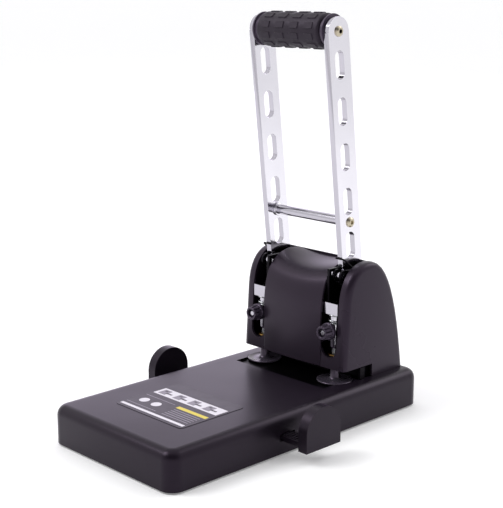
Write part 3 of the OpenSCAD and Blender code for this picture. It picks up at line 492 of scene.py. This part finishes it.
def grown(name, tree, **values):
    """Runs a tree with these input values and keeps the result as a plain piece."""
    piece = bpy.data.objects.new(name, bpy.data.meshes.new(name + "_start"))
    bpy.context.collection.objects.link(piece)
    rule = piece.modifiers.new("rule", "NODES")
    rule.node_group = tree
    for entry in tree.interface.items_tree:
        if entry.in_out == "INPUT" and entry.name in values:
            rule[entry.identifier] = float(values[entry.name])
    evaluated = piece.evaluated_get(bpy.context.evaluated_depsgraph_get())
    mesh = bpy.data.meshes.new_from_object(evaluated)
    piece.modifiers.clear()
    piece.data = mesh
    print(name, "has", len(mesh.polygons), "faces")
    return piece


# %% [markdown]
# ## The rubber grip
# The grip is a moulded sleeve with raised rectangular pads, four along its length and
# ten round it. The sleeve is a lathed profile. The pads are one rounded rectangle,
# extruded, drawn in a little at its top and set on points worked out from their number.

# %% Grip sleeve
grip_low, grip_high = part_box("grip")
grip_centre = (grip_low + grip_high) / 2
grip_radius = (grip_high.z - grip_low.z) / 2
grip_half = (grip_high.x - grip_low.x) / 2
pad_rise = 0.7 * mm


def lathed(name, profile, centre, axis, material, sides=96, flutes=0, closed=False):
    """Turns a profile round an axis through a centre. Each profile point is its distance
    along the axis, its radius and how deep the flutes cut there, which may be left out."""
    along = Vector(axis)
    out = along.orthogonal().normalized()
    third = along.cross(out)
    shape = bmesh.new()
    rings = []
    for distance, radius, *cut in profile:
        ring = []
        for k in range(sides):
            angle = 2 * math.pi * k / sides
            groove = max(0.0, math.cos(flutes * angle)) ** 1.5 if flutes else 0.0
            reach = radius - (cut[0] * groove if cut else 0.0)
            outward = out * math.cos(angle) + third * math.sin(angle)
            ring.append(shape.verts.new(centre + along * distance + outward * reach))
        rings.append(ring)
    for a, b in zip(rings, rings[1:] + (rings[:1] if closed else [])):
        for k in range(sides):
            shape.faces.new((a[k], a[(k + 1) % sides], b[(k + 1) % sides], b[k]))
    if not closed:
        shape.faces.new(list(reversed(rings[0])))
        shape.faces.new(rings[-1])
    bmesh.ops.recalc_face_normals(shape, faces=shape.faces)
    mesh = bpy.data.meshes.new(name)
    shape.to_mesh(mesh)
    shape.free()
    mesh.shade_smooth()
    mesh.set_sharp_from_angle(angle=math.radians(36))
    mesh.materials.append(material)
    piece = bpy.data.objects.new(name, mesh)
    bpy.context.collection.objects.link(piece)
    return piece


sleeve_radius = grip_radius - pad_rise
corner = 3 * mm
sleeve_profile = [(-grip_half, sleeve_radius - corner)]
sleeve_profile += [(-grip_half + corner * (1 - math.cos(a)), sleeve_radius - corner
                    + corner * math.sin(a)) for a in [math.pi / 2 * k / 6 for k in range(1, 7)]]
sleeve_profile += [(-x, r) for x, r in reversed(sleeve_profile)]
grip_sleeve = lathed("grip_sleeve", sleeve_profile, grip_centre, (1, 0, 0), finish["rubber"],
                     sides=64)
adopt(grip_sleeve, "grip")
print("grip sleeve radius", round(sleeve_radius / mm, 2), "mm")

# %% [markdown]
# Each pad's number gives its column and its row. The column is a place along the grip, the
# row is an angle round it, and each pad is turned by its row's angle to face outward.

# %% Grip pads
pad_corner = 0.9 * mm
pad_top_share = 0.88
pad_sunk = 0.12 * mm
pad_tree, sizes = node_tree("raised_pads", columns=4, rows=10, pitch=15.3 * mm,
                            radius=sleeve_radius, pad_length=9.4 * mm, pad_width=5.4 * mm,
                            rise=pad_rise)
outline = add(pad_tree, "GeometryNodeCurvePrimitiveQuadrilateral",
              {"Width": sizes["pad_length"], "Height": sizes["pad_width"]})
rounded = add(pad_tree, "GeometryNodeFilletCurve", {"Curve": outline.outputs[0],
                                                    "Radius": pad_corner, "Count": 4},
              mode="POLY")
sheet = add(pad_tree, "GeometryNodeFillCurve", {"Curve": rounded.outputs[0]}, mode="NGONS")
raised = add(pad_tree, "GeometryNodeExtrudeMesh",
             {"Mesh": sheet.outputs[0], "Offset Scale": sizes["rise"]})
drawn_in = add(pad_tree, "GeometryNodeScaleElements",
               {"Geometry": raised.outputs["Mesh"], "Selection": raised.outputs["Top"],
                "Scale": pad_top_share})
count = calc(pad_tree, "MULTIPLY", sizes["columns"], sizes["rows"])
points = add(pad_tree, "GeometryNodeMeshLine", {"Count": count})
number = add(pad_tree, "GeometryNodeInputIndex").outputs[0]
column = calc(pad_tree, "MODULO", number, sizes["columns"])
row = calc(pad_tree, "FLOOR", calc(pad_tree, "DIVIDE", number, sizes["columns"]))
middle = calc(pad_tree, "MULTIPLY", calc(pad_tree, "SUBTRACT", sizes["columns"], 1.0), 0.5)
along_grip = calc(pad_tree, "MULTIPLY", calc(pad_tree, "SUBTRACT", column, middle),
                  sizes["pitch"])
angle = calc(pad_tree, "MULTIPLY", calc(pad_tree, "DIVIDE", row, sizes["rows"]), 2 * math.pi)
reach = calc(pad_tree, "SUBTRACT", sizes["radius"], pad_sunk)
place = add(pad_tree, "ShaderNodeCombineXYZ", {
    0: along_grip,
    1: calc(pad_tree, "MULTIPLY", calc(pad_tree, "SINE", angle),
            calc(pad_tree, "MULTIPLY", reach, -1.0)),
    2: calc(pad_tree, "MULTIPLY", calc(pad_tree, "COSINE", angle), reach)})
set_out = add(pad_tree, "GeometryNodeSetPosition", {"Geometry": points.outputs[0],
                                                    "Position": place.outputs[0]})
turned = add(pad_tree, "FunctionNodeEulerToRotation", {
    0: add(pad_tree, "ShaderNodeCombineXYZ", {0: angle}).outputs[0]})
pads = add(pad_tree, "GeometryNodeInstanceOnPoints", {
    "Points": set_out.outputs[0], "Instance": drawn_in.outputs[0],
    "Rotation": turned.outputs[0]})
real = add(pad_tree, "GeometryNodeRealizeInstances", {0: pads.outputs[0]})
moved = add(pad_tree, "GeometryNodeTransform", {"Geometry": real.outputs[0],
                                                "Translation": grip_centre})
rubbered = add(pad_tree, "GeometryNodeSetMaterial", {"Geometry": moved.outputs[0],
                                                     "Material": finish["rubber"]})
add(pad_tree, "NodeGroupOutput", {0: rubbered.outputs[0]})
grip_pads = grown("grip_pads", pad_tree)
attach(grip_pads, body_of_node["grip"])

# %% [markdown]
# ## Turned pieces: clamp knobs and hold-down discs
# A clamp knob is moulded with twelve flutes and a hollow end, where its screw shows. A
# hold-down disc has a dished rim and a hollow stem that slides on the punch. Both are closed
# profiles turned round an axis, and the flutes push the outer rings in as they go round.

# %% Knobs and discs
def knob_profile(length, radius):
    """From the collar at the back, along the fluted outside, into the hollow end."""
    drawn_radius = 7
    points = [(0, 2.1), (0, 6.4), (0.5, 7), (2.8, 7), (3.2, 6.7), (3.4, 6.4, 0.1),
              (3.9, 6.35, 1.1), (length - 0.9, 5.75, 1.1), (length - 0.3, 5.5, 0.5),
              (length, 5.1), (length, 3.9), (length - 0.3, 3.6), (length - 3.8, 3.5),
              (length - 4, 3.3), (length - 4, 2.1)]
    return [(p[0] * mm, p[1] * radius / drawn_radius * mm,
             *[cut * mm for cut in p[2:]]) for p in points]


def disc_profile(height, radius):
    """From the underside, round the dished rim, up the stem and down its bore."""
    bore, stem = 3.12, 3.65
    points = [(0, bore), (0, radius - 2.5), (1.0, radius - 0.25), (1.3, radius),
              (1.9, radius), (2.2, radius - 0.3), (2.2, radius - 1.3), (1.95, radius - 1.7),
              (1.95, stem + 3.2), (2.2, stem + 2), (2.9, stem + 0.9), (4.2, stem),
              (height - 0.4, stem), (height, stem - 0.3), (height, bore)]
    return [(along * mm, reach * mm) for along, reach in points]


for side in ("left", "right"):
    low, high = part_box(side + "_knob")
    middle = (low + high) / 2
    knob = lathed(side + "_knob_turned", knob_profile((high.y - low.y) / mm,
                  (high.x - low.x) / 2 / mm), Vector((middle.x, high.y, middle.z)), (0, -1, 0),
                  finish["knob_plastic"], sides=144, flutes=12, closed=True)
    adopt(knob, side + "_knob")
    low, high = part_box(side + "_hold_down")
    middle = (low + high) / 2
    disc = lathed(side + "_hold_down_turned", disc_profile((high.z - low.z) / mm,
                  (high.x - low.x) / 2 / mm), Vector((middle.x, middle.y, low.z)), (0, 0, 1),
                  finish["disc_plastic"], closed=True)
    adopt(disc, side + "_hold_down")
    print(side, "knob has", len(knob.data.polygons), "faces")

# %% [markdown]
# ## Wound springs
# A compression spring is round wire along a spiral whose end turns lie flat. The rule lifts
# each point of a flat spiral by its share of the turns, and leaves the ends level. The same
# tree winds the return springs on the guide posts and the cushion springs on the holders.

# %% Spring tree
spring_tree, sizes = node_tree("wound_spring", coil_radius=5 * mm, wire_radius=0.7 * mm,
                               length=30 * mm, turns=8, flat_turns=0.8, half_spacing=16 * mm)
spiral = add(spring_tree, "GeometryNodeCurveSpiral",
             {"Resolution": 28, "Rotations": sizes["turns"], "Height": 0.0,
              "Start Radius": sizes["coil_radius"], "End Radius": sizes["coil_radius"]})
share = add(spring_tree, "GeometryNodeSplineParameter").outputs["Factor"]
turned_so_far = calc(spring_tree, "SUBTRACT", calc(spring_tree, "MULTIPLY", share,
                                                   sizes["turns"]), sizes["flat_turns"])
free_turns = calc(spring_tree, "SUBTRACT", sizes["turns"],
                  calc(spring_tree, "MULTIPLY", sizes["flat_turns"], 2.0))
lift = add(spring_tree, "ShaderNodeClamp",
           {0: calc(spring_tree, "DIVIDE", turned_so_far, free_turns)}).outputs[0]
rise = calc(spring_tree, "ADD", sizes["wire_radius"], calc(
    spring_tree, "MULTIPLY", lift, calc(spring_tree, "SUBTRACT", sizes["length"],
                                        calc(spring_tree, "MULTIPLY", sizes["wire_radius"], 2.0))))
wound = add(spring_tree, "GeometryNodeSetPosition", {
    "Geometry": spiral.outputs[0],
    "Offset": add(spring_tree, "ShaderNodeCombineXYZ", {2: rise}).outputs[0]})
wire = add(spring_tree, "GeometryNodeCurvePrimitiveCircle", {"Resolution": 12,
                                                             "Radius": sizes["wire_radius"]})
coil = add(spring_tree, "GeometryNodeCurveToMesh", {
    "Curve": wound.outputs[0], "Profile Curve": wire.outputs[0], "Fill Caps": True})
pair_start = add(spring_tree, "ShaderNodeCombineXYZ",
                 {0: calc(spring_tree, "MULTIPLY", sizes["half_spacing"], -1.0)}).outputs[0]
pair_step = add(spring_tree, "ShaderNodeCombineXYZ",
                {0: calc(spring_tree, "MULTIPLY", sizes["half_spacing"], 2.0)}).outputs[0]
pair = add(spring_tree, "GeometryNodeMeshLine", {"Count": 2, "Start Location": pair_start,
                                                 "Offset": pair_step})
both = add(spring_tree, "GeometryNodeInstanceOnPoints", {"Points": pair.outputs[0],
                                                         "Instance": coil.outputs[0]})
real = add(spring_tree, "GeometryNodeRealizeInstances", {0: both.outputs[0]})
smooth = add(spring_tree, "GeometryNodeSetShadeSmooth", {0: real.outputs[0]})
steeled = add(spring_tree, "GeometryNodeSetMaterial", {"Geometry": smooth.outputs[0],
                                                       "Material": finish["spring_steel"]})
add(spring_tree, "NodeGroupOutput", {0: steeled.outputs[0]})


def spring_pair(node, wire_radius, turns):
    """Winds a pair of springs that fills the CAD springs' box."""
    low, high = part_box(node)
    coil_radius = (high.y - low.y) / 2 - wire_radius
    springs = grown(node + "_wound", spring_tree, wire_radius=wire_radius, turns=turns,
                    coil_radius=coil_radius, length=high.z - low.z,
                    half_spacing=(high.x - low.x) / 2 - coil_radius - wire_radius)
    springs.data.transform(Matrix.Translation((0, (low.y + high.y) / 2, low.z)))
    return adopt(springs, node)


spring_pair("cushion_springs", 0.65 * mm, 3)
return_springs = spring_pair("return_springs", 0.7 * mm, 8)
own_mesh(return_springs)
